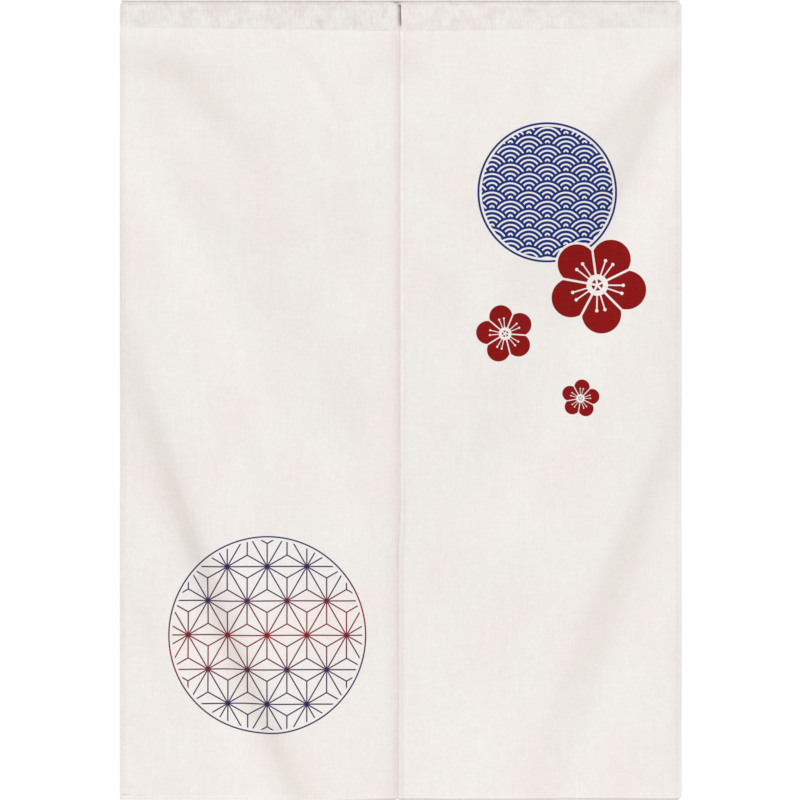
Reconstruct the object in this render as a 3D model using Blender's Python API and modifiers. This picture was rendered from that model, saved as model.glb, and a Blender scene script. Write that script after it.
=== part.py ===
"""Doorway curtain of two cloth panels, joined at the top by a strip that makes the pole pocket.

Units are metres. +X runs to the viewer's right, the front of the cloth faces -Y, and +Z is up. The
origin is the middle of the top edge, where the heading is held.
"""
import math
from collections import namedtuple

import bmesh
import bpy
import numpy as np

# Overall sizes
CURTAIN_WIDTH = 0.850
HALF_WIDTH = CURTAIN_WIDTH / 2
SHEET = 0.0012            # thickness of one layer of cloth, with its loft
HEM_THICKNESS = 0.0018    # the same cloth turned in twice and pressed
HEM_WIDTH = 0.009
SEAM_GAP = 0.0003         # between two sewn layers

# Heading: the panels' tops lie flat in front, and the facing strip bows out behind them
PANEL_TOP = -0.0057       # the strip's top edge shows this much above the panels
TOP_SEAM = -0.0075
SEAM_AT_SLIT = -0.0475    # height of the lower seam at the slit
SEAM_AT_SIDE = -0.0415    # and at the outer edges, where it has been pulled up a little
FACING_TAIL = 0.006       # the strip's allowance below the lower seam
FACING_INSET = 0.003      # the strip stops this far inside the outer edges
POCKET_DEPTH = 0.015
POCKET_SKEW = 0.75        # under 1, the pocket is fullest above its middle, as if round a pole
POCKET_UNEVENNESS = 0.0010
Wave = namedtuple("Wave", "radians_per_metre phase share")
POCKET_WAVES = (Wave(21.0, 0.6, 1.0), Wave(47.0, 2.0, 0.6))

# Front face of the panels where they lie on the strip, whose middle is at y = 0
FRONT_FACE = -(SHEET / 2 + SEAM_GAP + SHEET)

# Slit: the right panel's hemmed edge lies in front of the left panel's
OVERLAP_LIFT = HEM_THICKNESS + 0.0005
LIFT_REACH = 0.030        # width over which the right panel comes forward
SLIT_HOLLOW = 0.004       # both edges sink back at the slit
SLIT_HOLLOW_REACH = 0.035

# Free cloth starts this far under the seam, and the folds reach full depth over the next length
FOLD_START = 0.010
FOLD_RAMP = 0.075
FOLD_FULLNESS = 1.3       # over 1, a fold fades softly towards its ends
CORNER_ROUNDING = 0.002   # how far a corner is drawn in each way

# Mesh density
PANEL_COLUMNS = 30
HEADING_LEVELS = (0.0, 0.12, 0.55, 1.0)
DROP_ROWS = 45
FACING_COLUMNS = 24
POCKET_ROWS = 9

# Where the panels' edges run beside the slit: height, then each panel's edge
SlitRow = namedtuple("SlitRow", "z left_edge right_edge")
SLIT_ROWS = (
    SlitRow(0.000, -0.0044, 0.0000),
    SlitRow(-0.020, -0.0036, 0.0005),
    SlitRow(-0.040, -0.0028, 0.0010),
    SlitRow(-0.043, -0.0003, -0.0014),
    SlitRow(-0.120, 0.0011, -0.0013),
    SlitRow(-0.790, 0.0011, -0.0011),
    SlitRow(-0.840, -0.0014, -0.0040),
    SlitRow(-1.170, -0.0026, -0.0040),
    SlitRow(-1.215, -0.0052, -0.0026),
)

# Bottom edges, from side to side
BottomRow = namedtuple("BottomRow", "x z")
LEFT_BOTTOM = (
    BottomRow(-0.425, -1.2166),
    BottomRow(-0.125, -1.2158),
    BottomRow(-0.085, -1.2136),
    BottomRow(0.000, -1.2124),
)
RIGHT_BOTTOM = (
    BottomRow(-0.005, -1.2120),
    BottomRow(0.200, -1.2120),
    BottomRow(0.425, -1.2118),
)

# Folds, from their upper to their lower end. Bow is how far the middle of the line lies to the viewer's
# right, and each side of the fold has its own width. Depth is positive for a trough, which goes away
# from the viewer, and negative for a ridge.
Fold = namedtuple("Fold", "x_top z_top x_bottom z_bottom bow left_width right_width depth")
LEFT_FOLDS = (
    # Pulled from the top corner, and the dip beside it, then the long fold and the one under it
    Fold(-0.425, -0.035, -0.180, -0.330, 0.004, 0.044, 0.030, 0.0034),
    Fold(-0.440, -0.030, -0.115, -0.780, 0.000, 0.050, 0.110, 0.0096),
    Fold(-0.420, -0.412, -0.010, -1.500, -0.030, 0.029, 0.070, -0.0112),
    Fold(-0.441, -0.495, -0.010, -1.500, -0.035, 0.046, 0.028, 0.0117),
    # Slighter ones
    Fold(-0.416, -0.180, -0.404, -0.660, 0.000, 0.014, 0.040, -0.0040),
    Fold(-0.418, -0.870, -0.340, -1.140, 0.000, 0.018, 0.018, 0.0022),
    Fold(-0.175, -0.050, -0.082, -0.200, 0.000, 0.010, 0.010, 0.0012),
    Fold(-0.080, -0.270, -0.066, -0.510, 0.000, 0.034, 0.030, 0.0034),
    Fold(-0.094, -0.590, -0.074, -0.830, 0.000, 0.036, 0.032, 0.0042),
    Fold(-0.244, -0.600, -0.226, -0.820, 0.000, 0.022, 0.022, 0.0018),
    Fold(-0.115, -0.650, -0.080, -1.380, 0.010, 0.042, 0.034, -0.0050),
)
RIGHT_FOLDS = (
    # Pulled from the top corner, and the dip beside it, then the long fold and the one under it
    Fold(0.440, -0.030, 0.205, -0.300, 0.000, 0.045, 0.022, -0.0022),
    Fold(0.462, -0.010, 0.235, -0.560, 0.000, 0.028, 0.044, 0.0070),
    Fold(0.440, -0.080, 0.125, -0.860, 0.000, 0.080, 0.050, 0.0066),
    Fold(0.485, -0.450, 0.120, -1.380, -0.022, 0.075, 0.026, -0.0062),
    Fold(0.460, -0.580, 0.190, -1.380, 0.000, 0.028, 0.045, 0.0062),
    # Slighter ones, then the lower part's swing to the front
    Fold(0.420, -0.740, 0.400, -1.350, 0.000, 0.034, 0.014, -0.0065),
    Fold(0.412, -0.120, 0.404, -0.660, 0.000, 0.050, 0.014, -0.0045),
    Fold(0.122, -0.290, 0.126, -0.490, 0.000, 0.026, 0.024, 0.0026),
    Fold(0.190, -0.340, 0.195, -0.540, 0.000, 0.026, 0.026, 0.0026),
    Fold(0.074, -0.400, 0.080, -0.590, 0.000, 0.024, 0.024, 0.0026),
    Fold(0.128, -0.620, 0.126, -0.830, 0.000, 0.026, 0.024, 0.0030),
    Fold(0.186, -0.660, 0.170, -1.030, 0.000, 0.032, 0.030, -0.0040),
    Fold(-0.100, -1.300, 0.280, -1.260, 0.000, 0.170, 0.170, -0.0058),
)


def smooth_step(value):
    """Ease from 0 to 1 as the value does."""
    value = min(1.0, max(0.0, value))
    return value * value * (3.0 - 2.0 * value)


def seam_height(x):
    """Height of the seam that closes the pocket."""
    return SEAM_AT_SLIT + (SEAM_AT_SIDE - SEAM_AT_SLIT) * abs(x) / HALF_WIDTH


def slit_edges(z):
    """Where the left and the right panel's edges beside the slit are at a height."""
    heights = [row.z for row in reversed(SLIT_ROWS)]
    left = np.interp(z, heights, [row.left_edge for row in reversed(SLIT_ROWS)])
    right = np.interp(z, heights, [row.right_edge for row in reversed(SLIT_ROWS)])
    return float(left), float(right)


def fold_depth(fold, x, z):
    """Depth that one fold gives to a point of the cloth."""
    run_x = fold.x_bottom - fold.x_top
    run_z = fold.z_bottom - fold.z_top
    length = math.hypot(run_x, run_z)
    along = ((x - fold.x_top) * run_x + (z - fold.z_top) * run_z) / length ** 2
    if not 0.0 < along < 1.0:
        return 0.0
    aside = ((z - fold.z_top) * run_x - (x - fold.x_top) * run_z) / length
    aside -= fold.bow * 4.0 * along * (1.0 - along)
    width = fold.right_width if aside > 0.0 else fold.left_width
    fullness = math.sin(math.pi * along) ** FOLD_FULLNESS
    return fold.depth * fullness * math.exp(-(aside / width) ** 2)


def free_depth(folds, x, z):
    """Depth of the hanging cloth behind the flat heading."""
    below = seam_height(x) - FOLD_START - z
    depth = sum(fold_depth(fold, x, z) for fold in folds)
    depth += SLIT_HOLLOW * math.exp(-(x / SLIT_HOLLOW_REACH) ** 2)
    return depth * smooth_step(below / FOLD_RAMP)


def overlap_lift(x, z):
    """How far the right panel comes forward beside the slit, from the pocket's middle down."""
    across = 1.0 - smooth_step(x / LIFT_REACH)
    down = smooth_step((TOP_SEAM - z) / (TOP_SEAM - SEAM_AT_SIDE))
    return OVERLAP_LIFT * across * down


def panel_point(side, across, level):
    """A point of a panel's front face.

    Side is -1 for the left panel and 1 for the right one. Across runs from 0 at the outer edge to 1 at
    the slit. Level is 0 at the top edge, 1 at the lower seam and 2 at the bottom edge.
    """
    bottom_rows = LEFT_BOTTOM if side < 0 else RIGHT_BOTTOM
    outer = side * HALF_WIDTH
    x = outer * (1.0 - across)
    # The slit's place depends on the height and the height on x, so both are worked out twice
    for _ in range(2):
        seam = seam_height(x)
        bottom = float(np.interp(x, [row.x for row in bottom_rows], [row.z for row in bottom_rows]))
        if level < 1.0:
            z = PANEL_TOP + (seam - PANEL_TOP) * level
        else:
            z = seam + (bottom - seam) * (level - 1.0)
        inner = slit_edges(z)[0 if side < 0 else 1]
        x = outer + (inner - outer) * across
    depth = free_depth(LEFT_FOLDS if side < 0 else RIGHT_FOLDS, x, z)
    if side > 0:
        depth -= overlap_lift(x, z)
    if across in (0.0, 1.0) and level in (0.0, 2.0):
        x += CORNER_ROUNDING * (-side if across == 0.0 else side)
        z += CORNER_ROUNDING * (1.0 if level == 2.0 else -1.0)
    return x, FRONT_FACE + depth, z


def panel_columns():
    """Shares of the width at which a panel has a line of points, with one line at each hem."""
    width = HALF_WIDTH
    inner = np.linspace(HEM_WIDTH / width, 1.0 - HEM_WIDTH / width, PANEL_COLUMNS - 1)
    return [0.0, *(float(share) for share in inner), 1.0]


def panel_levels():
    """Levels at which a panel has a line of points, with one just under the facing and one at the hem."""
    drop = abs(RIGHT_BOTTOM[0].z - SEAM_AT_SLIT)
    free = np.linspace(1.0 + FOLD_START / drop, 2.0 - HEM_WIDTH / drop, DROP_ROWS)
    return [*HEADING_LEVELS, *(float(level) for level in free), 2.0]


def facing_rows():
    """Rows of the facing strip, top to bottom, as their part of the strip and share of that part."""
    pocket = [("pocket", row / POCKET_ROWS) for row in range(POCKET_ROWS + 1)]
    return [("top", 0.0), *pocket, ("tail", 1.0)]


def facing_point(across, row):
    """A point of the facing strip's middle surface."""
    part, share = row
    half = HALF_WIDTH - FACING_INSET
    x = half * (2.0 * across - 1.0)
    seam = seam_height(x)
    if part == "top":
        return x, 0.0, 0.0
    if part == "tail":
        return x, 0.0, seam - FACING_TAIL
    z = TOP_SEAM + (seam - TOP_SEAM) * share
    waves = [wave.share * math.sin(x * wave.radians_per_metre + wave.phase) for wave in POCKET_WAVES]
    depth = POCKET_DEPTH + POCKET_UNEVENNESS * sum(waves)
    return x, depth * math.sin(math.pi * share ** POCKET_SKEW), z


def cloth_material(name, colour):
    """Matt woven cloth of one colour."""
    material = bpy.data.materials.new(name)
    material.use_nodes = True
    shader = material.node_tree.nodes["Principled BSDF"]
    shader.inputs["Base Color"].default_value = (*colour, 1.0)
    shader.inputs["Roughness"].default_value = 0.9
    shader.inputs["Metallic"].default_value = 0.0
    material.diffuse_color = (*colour, 1.0)
    return material


def sheet_object(name, columns, rows, place, offset, hem_test, material, collection):
    """A sheet of cloth: a grid whose points go where place says, thickened by Solidify.

    Offset is -1 where the points are the front face and 0 where they are the middle of the cloth. The
    faces are halved down towards the last column, which on a panel is the way that its long folds run.
    """
    mesh = bpy.data.meshes.new(name)
    grid = bmesh.new()
    bmesh.ops.create_grid(grid, x_segments=len(columns) - 1, y_segments=len(rows) - 1, size=0.5)
    hem_weights = grid.verts.layers.deform.verify()
    for vertex in grid.verts:
        column = round((vertex.co.x + 0.5) * (len(columns) - 1))
        row = round((0.5 - vertex.co.y) * (len(rows) - 1))
        vertex.co = place(columns[column], rows[row])
        vertex[hem_weights][0] = hem_test(column, row)
    grid.normal_update()
    if sum(face.normal.y for face in grid.faces) > 0:
        bmesh.ops.reverse_faces(grid, faces=grid.faces)
    bmesh.ops.triangulate(grid, faces=grid.faces, quad_method="ALTERNATE")
    grid.to_mesh(mesh)
    grid.free()
    mesh.shade_smooth()
    mesh.materials.append(material)
    sheet = bpy.data.objects.new(name, mesh)
    collection.objects.link(sheet)
    sheet.vertex_groups.new(name="hem")
    solidify = sheet.modifiers.new("Cloth thickness", "SOLIDIFY")
    solidify.thickness = HEM_THICKNESS
    solidify.offset = offset
    solidify.vertex_group = "hem"
    solidify.thickness_vertex_group = SHEET / HEM_THICKNESS
    return sheet


def make_panel(name, side, material, collection):
    """One panel, with its cloth doubled along its side edges and bottom edge under the heading."""
    columns = panel_columns()
    levels = panel_levels()
    first_free_row = len(HEADING_LEVELS) + 1

    def hem_weight(column, row):
        beside = column <= 1 or column >= len(columns) - 2
        below = row >= len(levels) - 2
        return 1.0 if row >= first_free_row and (beside or below) else 0.0

    return sheet_object(name, columns, levels, lambda across, level: panel_point(side, across, level),
                        -1.0, hem_weight, material, collection)


def make_facing(material, collection):
    """The strip that is sewn across the back of both panels' tops."""
    columns = [float(share) for share in np.linspace(0.0, 1.0, FACING_COLUMNS + 1)]
    return sheet_object("heading_facing", columns, facing_rows(), facing_point,
                        0.0, lambda column, row: 0.0, material, collection)


def clear_scene():
    """Remove whatever the file holds, such as the default cube."""
    for item in list(bpy.data.objects):
        bpy.data.objects.remove(item, do_unlink=True)


def main():
    clear_scene()
    curtain = bpy.data.collections.new("Noren curtain")
    bpy.context.scene.collection.children.link(curtain)
    panel_cloth = cloth_material("Panel cloth", (0.86, 0.82, 0.78))
    facing_cloth = cloth_material("Facing cloth", (0.82, 0.78, 0.74))
    make_panel("panel_left", -1, panel_cloth, curtain)
    make_panel("panel_right", 1, panel_cloth, curtain)
    make_facing(facing_cloth, curtain)


main()
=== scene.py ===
import math
from collections import namedtuple

import bmesh
import bpy
from mathutils import Matrix, Vector, noise


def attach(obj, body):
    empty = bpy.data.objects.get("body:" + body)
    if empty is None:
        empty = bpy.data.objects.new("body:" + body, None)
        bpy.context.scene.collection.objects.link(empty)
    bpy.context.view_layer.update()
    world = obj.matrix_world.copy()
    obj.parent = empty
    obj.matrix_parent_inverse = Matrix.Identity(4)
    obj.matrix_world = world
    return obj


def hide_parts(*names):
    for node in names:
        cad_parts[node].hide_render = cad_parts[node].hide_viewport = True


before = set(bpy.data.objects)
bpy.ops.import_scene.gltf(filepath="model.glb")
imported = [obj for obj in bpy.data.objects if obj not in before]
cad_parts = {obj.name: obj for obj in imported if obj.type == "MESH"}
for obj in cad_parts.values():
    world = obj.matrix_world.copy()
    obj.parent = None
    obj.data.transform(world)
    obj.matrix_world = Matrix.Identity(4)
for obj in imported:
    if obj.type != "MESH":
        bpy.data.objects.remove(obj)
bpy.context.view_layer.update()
scene = bpy.context.scene


# Camera, lights and floor
# A long lens looks square at the curtain. Soft light comes from a white room, more of it from above
# than from below, and a large lamp high above the viewer brings out the folds.
PHOTO_WIDTH = 1.2110          # metres of the curtain's plane that the picture takes in
VIEW_CENTRE = Vector((-0.0011, 0.0, -0.6063))
LENS = 135.0
SENSOR = 36.0
# Brightness of the room from straight below (0) over eye level (0.5) to straight above (1)
RoomStop = namedtuple("RoomStop", "height brightness")
ROOM_STOPS = (RoomStop(0.0, 0.30), RoomStop(0.36, 0.55), RoomStop(0.43, 1.02), RoomStop(0.57, 1.02),
              RoomStop(0.66, 0.80), RoomStop(1.0, 0.95))
KEY_PLACE = Vector((0.0, -2.6, 4.4))
KEY_SIZE = 1.0
KEY_POWER = 218.0
FLOOR_HEIGHT = -1.50
FLOOR_RADIUS = 1.45
FLOOR_COLOUR = (0.78, 0.78, 0.78, 1.0)
FLOOR_ROUGHNESS = 0.8


def add_object(name, data):
    item = bpy.data.objects.new(name, data)
    scene.collection.objects.link(item)
    return item


camera = add_object("camera", bpy.data.cameras.new("camera"))
camera.data.lens = LENS
camera.data.sensor_width = SENSOR
camera.location = VIEW_CENTRE - Vector((0.0, PHOTO_WIDTH * LENS / SENSOR, 0.0))
camera.rotation_euler = (math.radians(90.0), 0.0, 0.0)
camera.data.clip_end = 60.0
scene.camera = camera

world = bpy.data.worlds.new("white_room")
world.use_nodes = True
room = world.node_tree
direction = room.nodes.new("ShaderNodeTexCoord")
upward = room.nodes.new("ShaderNodeSeparateXYZ")
room.links.new(direction.outputs["Generated"], upward.inputs[0])
height_share = room.nodes.new("ShaderNodeMapRange")
height_share.inputs["From Min"].default_value = -1.0
room.links.new(upward.outputs["Z"], height_share.inputs["Value"])
brightness = room.nodes.new("ShaderNodeValToRGB")
room.links.new(height_share.outputs["Result"], brightness.inputs["Fac"])
stops = brightness.color_ramp.elements
stops[1].position = ROOM_STOPS[1].height
while len(stops) < len(ROOM_STOPS):
    stops.new(ROOM_STOPS[len(stops)].height)
for stop, wanted in zip(stops, ROOM_STOPS):
    stop.color = (wanted.brightness, wanted.brightness, wanted.brightness, 1.0)
room.links.new(brightness.outputs["Color"], room.nodes["Background"].inputs["Color"])
scene.world = world
scene.view_settings.view_transform = "Standard"

key = add_object("key_lamp", bpy.data.lights.new("key_lamp", "AREA"))
key.data.shape = "DISK"
key.data.size = KEY_SIZE
key.data.energy = KEY_POWER
key.location = KEY_PLACE
key.rotation_euler = (VIEW_CENTRE - KEY_PLACE).to_track_quat("-Z", "Y").to_euler()

floor_mesh = bpy.data.meshes.new("floor")
floor_grid = bmesh.new()
bmesh.ops.create_circle(floor_grid, cap_ends=True, segments=96, radius=FLOOR_RADIUS)
bmesh.ops.translate(floor_grid, verts=floor_grid.verts, vec=(0.0, 0.0, FLOOR_HEIGHT))
floor_grid.to_mesh(floor_mesh)
floor_grid.free()
floor = add_object("floor", floor_mesh)
floor_paint = bpy.data.materials.new("floor_paint")
floor_paint.use_nodes = True
floor_shader = floor_paint.node_tree.nodes["Principled BSDF"]
floor_shader.inputs["Base Color"].default_value = FLOOR_COLOUR
floor_shader.inputs["Roughness"].default_value = FLOOR_ROUGHNESS
floor_mesh.materials.append(floor_paint)


# The two panels
# Each is one length of off-white plain-weave cloth, hemmed down both sides and along the bottom. Their
# tops are turned in and sewn flat to the facing. The right one's slit edge hangs in front of the left's.
# In all that follows, side is -1 for the left panel and 1 for the right one.
HALF_WIDTH = 0.425
PANEL_TOP = -0.0057           # the facing's top edge stands a little above it, at 0
TOP_SEAM = -0.0075
SEAM_AT_SLIT = -0.0475        # the lower seam rises a little towards both sides
SEAM_AT_SIDE = -0.0415
CLOTH = 0.0010                # thickness of one layer of cloth, with its loft
HEM = 0.0018                  # the same cloth turned in twice and pressed
FRONT_FACE = -0.0021          # y of the front of flat cloth
OVERLAP_LIFT = 0.0023         # the right panel's slit edge stands this much in front, and so far across
LIFT_REACH = 0.030
SLIT_HOLLOW = 0.004           # both panels hang back a little along the slit
SLIT_HOLLOW_REACH = 0.035
FOLD_START = 0.010            # the cloth leaves the flat this far below the seam, over the ramp
FOLD_RAMP = 0.075
FOLD_FULLNESS = 1.3           # how slowly a fold swells from its ends to its middle

# Height, then where each panel's edge runs beside the slit
SlitRow = namedtuple("SlitRow", "z left_edge right_edge")
SLIT_ROWS = (
    SlitRow(0.000, -0.0044, 0.0000),
    SlitRow(-0.020, -0.0036, 0.0005),
    SlitRow(-0.040, -0.0028, 0.0010),
    SlitRow(-0.043, -0.0003, -0.0014),
    SlitRow(-0.120, 0.0011, -0.0013),
    SlitRow(-0.790, 0.0011, -0.0011),
    SlitRow(-0.840, -0.0014, -0.0040),
    SlitRow(-1.170, -0.0026, -0.0040),
    SlitRow(-1.207, -0.0032, -0.0040),
    SlitRow(-1.215, -0.0055, -0.0040),
)
SLIT_ROWS_IN_HEADING = 4
SLIT_CLOSES = -0.0425         # below this height the two panels overlap

BottomRow = namedtuple("BottomRow", "x z")
LEFT_BOTTOM = (
    BottomRow(-0.425, -1.2166),
    BottomRow(-0.125, -1.2158),
    BottomRow(-0.085, -1.2136),
    BottomRow(0.000, -1.2124),
)
RIGHT_BOTTOM = (
    BottomRow(-0.005, -1.2120),
    BottomRow(0.200, -1.2120),
    BottomRow(0.425, -1.2118),
)

# Folds, from their upper to their lower end. Bow is how far the middle of the line lies to the viewer's
# right, and each side of the fold has its own width. Depth is positive for a trough, which goes away
# from the viewer, and negative for a ridge.
Fold = namedtuple("Fold", "x_top z_top x_bottom z_bottom bow left_width right_width depth")
LEFT_FOLDS = (
    Fold(-0.425, -0.035, -0.180, -0.330, 0.004, 0.044, 0.030, 0.0034),
    Fold(-0.440, -0.030, -0.115, -0.780, 0.000, 0.050, 0.110, 0.0096),
    Fold(-0.420, -0.412, -0.010, -1.500, -0.030, 0.029, 0.070, -0.0112),
    Fold(-0.441, -0.495, -0.010, -1.500, -0.035, 0.046, 0.028, 0.0117),
    Fold(-0.416, -0.180, -0.404, -0.660, 0.000, 0.014, 0.040, -0.0040),
    Fold(-0.418, -0.870, -0.340, -1.140, 0.000, 0.018, 0.018, 0.0022),
    Fold(-0.175, -0.050, -0.082, -0.200, 0.000, 0.010, 0.010, 0.0012),
    Fold(-0.080, -0.270, -0.066, -0.510, 0.000, 0.034, 0.030, 0.0034),
    Fold(-0.094, -0.590, -0.074, -0.830, 0.000, 0.036, 0.032, 0.0042),
    Fold(-0.244, -0.600, -0.226, -0.820, 0.000, 0.022, 0.022, 0.0018),
    Fold(-0.115, -0.650, -0.080, -1.380, 0.010, 0.042, 0.034, -0.0050),
)
RIGHT_FOLDS = (
    Fold(0.440, -0.030, 0.205, -0.300, 0.000, 0.045, 0.022, -0.0022),
    Fold(0.462, -0.010, 0.235, -0.560, 0.000, 0.028, 0.044, 0.0070),
    Fold(0.440, -0.080, 0.125, -0.860, 0.000, 0.080, 0.050, 0.0066),
    Fold(0.485, -0.450, 0.120, -1.380, -0.022, 0.075, 0.026, -0.0062),
    Fold(0.460, -0.580, 0.190, -1.380, 0.000, 0.028, 0.045, 0.0062),
    Fold(0.420, -0.740, 0.400, -1.350, 0.000, 0.034, 0.014, -0.0065),
    Fold(0.412, -0.120, 0.404, -0.660, 0.000, 0.050, 0.014, -0.0045),
    Fold(0.122, -0.290, 0.126, -0.490, 0.000, 0.026, 0.024, 0.0026),
    Fold(0.190, -0.340, 0.195, -0.540, 0.000, 0.026, 0.026, 0.0026),
    Fold(0.074, -0.400, 0.080, -0.590, 0.000, 0.024, 0.024, 0.0026),
    Fold(0.128, -0.620, 0.126, -0.830, 0.000, 0.026, 0.024, 0.0030),
    Fold(0.186, -0.660, 0.170, -1.030, 0.000, 0.032, 0.030, -0.0040),
    Fold(-0.100, -1.300, 0.280, -1.260, 0.000, 0.170, 0.170, -0.0058),
)

# How the cloth lies at its hems and seams
HEM_WIDTH = 0.009
HEM_STITCH = 0.0068           # from the edge to the line of stitches
HEM_PUFF = 0.00040            # between the edge and the stitches
BOTTOM_PUFF = 0.00020
HEADING_HEM = 0.3             # share of a side hem's relief that it keeps in the heading
BOTTOM_CURL = 0.0018          # the lowest edge turns back this much
BOTTOM_CURL_REACH = 0.0042
SLIT_SINK = 0.0007            # the left panel's slit edge sinks back behind the right one's
SLIT_SINK_REACH = 0.0060
# In the heading that edge is turned in instead: this much of it, so far across and so far back
TUCK = 0.0034
TUCK_WIDTH = 0.0045
TUCK_DEPTH = 0.0040
TUCK_ROLL = 1.5               # how late it turns back
TUCK_SHADE = 0.5              # painted shade: how much darker it is
TUCK_EASE = 0.003             # height over which it starts at the upper seam and ends above the lower
STITCH_DIMPLE = 0.00030
STITCH_SINK = 0.0006          # how far from the line the dimple has mostly gone
HEM_STEP = 0.00030            # the hem stands this far in front of the cloth beside it
HEM_STEP_WIDTH = 0.0012
SEAM_DIMPLE = 0.00008
SEAM_SINK = 0.0012
SEAM_BLEND = 0.0045           # height over which the heading's painted shade ends
LEFT_HEADING = 1.3            # the left panel's heading has this much more of it

# Ripples along a seam: their height and length, and how far from it they reach. They come early or late
# by up to the drift, in radians, and their strength is uneven.
PUCKER = 0.00022
PUCKER_LENGTH = 0.0085
PUCKER_REACH = 0.007
PUCKER_DRIFT = 2.5
PUCKER_DRIFTS_A_METRE = 30.0
PUCKER_MEAN = 0.6
PUCKER_SWING = 0.8
PUCKER_SWINGS_A_METRE = 55.0

# Soft unevenness: depth, and the size of its patches across and down
Unevenness = namedtuple("Unevenness", "depth across down")
WAVES_IN_CLOTH = Unevenness(0.00065, 0.060, 0.110)
CRUMPLE = Unevenness(0.00012, 0.016, 0.024)
HEADING_CRUMPLE = Unevenness(0.00030, 0.013, 0.016)
CRUMPLE_FROM_SEAM = 0.006     # the heading's crumple starts over this height
CRUMPLE_FROM_TOP = 0.004

Corner = namedtuple("Corner", "across down")
TOP_CORNER = Corner(0.0040, 0.0040)
LEFT_SLIT_CORNER = Corner(0.0080, 0.0036)
RIGHT_SLIT_CORNER = Corner(0.0015, 0.0015)
LEFT_FOOT_CORNER = Corner(0.0040, 0.0040)
RIGHT_FOOT_CORNER = Corner(0.0080, 0.0108)
SLIT_FOOT_CORNER = Corner(0.0035, 0.0035)

# Small creases by the left panel's bottom corner: middle, half sizes and depth
Crease = namedtuple("Crease", "x z across down depth")
FOOT_CREASES = (
    Crease(-0.4168, -1.2042, 0.0056, 0.0011, 0.0009),
    Crease(-0.3960, -1.2056, 0.0080, 0.0014, 0.0004),
    Crease(-0.4120, -1.1925, 0.0070, 0.0030, 0.0004),
)
CREASE_SHADE = 45.0            # painted shade: a crease is this much darker for each metre of its depth

# Distances from an edge at which the cloth has a line of points
EDGE_LINES = (0.0, 0.00012, 0.0004, 0.0009, 0.0020, 0.0034, 0.0048, 0.0058, 0.0064, 0.0068, 0.0072,
              0.0078, 0.0087, 0.0093, 0.0099, 0.0110)
BOTTOM_LINES = (*EDGE_LINES, 0.0115, 0.0120, 0.0125, 0.0131, 0.0138, 0.0150)
TOP_LINES = (0.0, 0.0001, 0.0003, 0.0006, 0.0012, 0.0018, 0.0024, 0.0033, 0.0042, 0.0051, 0.0060)
SEAM_LINES = (0.0030, 0.0018, 0.0009, 0.0, -0.0009, -0.0018, -0.0032)
FIELD_COLUMNS = 92
POCKET_ROWS = 9
DROP_ROWS = 248

# Painted light and shade along the edges: painted shadow on the left panel beside the right one's slit
# edge, painted shade at the stitch lines, the side edges, under the bottom edge and along the top, and
# painted highlights on the rolled edges. Each row is a distance from the edge, then the change in
# brightness
Tone = namedtuple("Tone", "distance change")


def tones(*rows):
    return [Tone(*row) for row in rows]


LEFT_SIDE_TONES = tones((0.0008, 0.0), (0.0018, -0.045), (0.0034, -0.060), (0.0055, -0.016),
                        (0.0090, -0.016), (0.0110, 0.0))
LEFT_SLIT_TONES = tones((0.0020, 0.035), (0.0034, 0.015), (0.0048, -0.050), (0.0058, -0.055),
                        (0.0078, -0.028), (0.0110, -0.022), (0.0200, 0.0))
RIGHT_SLIT_TONES = tones((0.0006, 0.005), (0.0024, 0.022), (0.0039, 0.052), (0.0054, 0.012),
                         (0.0066, -0.014), (0.0080, -0.016), (0.0100, 0.0))
LEFT_LOW_TONES = tones((0.0020, 0.070), (0.0034, 0.045), (0.0048, -0.050), (0.0058, -0.060),
                       (0.0070, -0.025), (0.0093, -0.040), (0.0180, -0.020), (0.0240, 0.0))
RIGHT_LOW_TONES = tones((0.0008, -0.035), (0.0028, -0.030), (0.0044, -0.028), (0.0060, -0.058),
                        (0.0074, -0.056), (0.0090, -0.022), (0.0104, 0.0))
RIGHT_SIDE_TONES = tones((0.0, 0.025), (0.0030, 0.018), (0.0046, -0.015), (0.0090, -0.026),
                         (0.0110, 0.0))
BOTTOM_TONES = tones((0.0, -0.110), (0.0016, -0.085), (0.0036, -0.010), (0.0046, 0.0))
TOP_TONES = tones((0.0, -0.110), (0.0009, -0.075), (0.0024, -0.010), (0.0040, 0.0))
LOW_TONES_START = -0.60       # the slit's tones change from the upper ones to the low ones from here
LOW_TONES_END = -0.85

# A line of points: the part of the cloth it is in, and its distance from that part's edge or, in the
# field, the pocket and the drop, its share of the way
Line = namedtuple("Line", "part amount")
# A point on the curtain's plane, with the slit's edge, the seam and the bottom edge beside it
Spot = namedtuple("Spot", "x z inner seam bottom from_side from_slit from_top from_bottom")
# A point of a finished cloth: its two faces, place on the flat cloth, share of the heading's painted shade
# and mottle, and its own painted light and shade
ClothPoint = namedtuple("ClothPoint", "front back flat heading tone")


def smooth_step(value):
    """0 below 0, 1 above 1 and a soft rise between."""
    value = min(1.0, max(0.0, value))
    return value * value * (3.0 - 2.0 * value)


def bottom_edge(side, x):
    """Height of a panel's bottom edge at x, on straight lines between its rows."""
    rows = LEFT_BOTTOM if side < 0 else RIGHT_BOTTOM
    for left, right in zip(rows, rows[1:]):
        if x < right.x or right is rows[-1]:
            share = min(1.0, max(0.0, (x - left.x) / (right.x - left.x)))
            return left.z + (right.z - left.z) * share


def slit_edge(side, z):
    """Where a panel's slit edge runs at a height, on straight lines between the rows."""
    edge = SlitRow._fields.index("left_edge" if side < 0 else "right_edge")
    for upper, lower in zip(SLIT_ROWS, SLIT_ROWS[1:]):
        if z > lower.z or lower is SLIT_ROWS[-1]:
            share = min(1.0, max(0.0, (upper.z - z) / (upper.z - lower.z)))
            return upper[edge] + (lower[edge] - upper[edge]) * share


def seam_height(x):
    """Height of the heading's lower seam."""
    return SEAM_AT_SLIT + (SEAM_AT_SIDE - SEAM_AT_SLIT) * abs(x) / HALF_WIDTH


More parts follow.
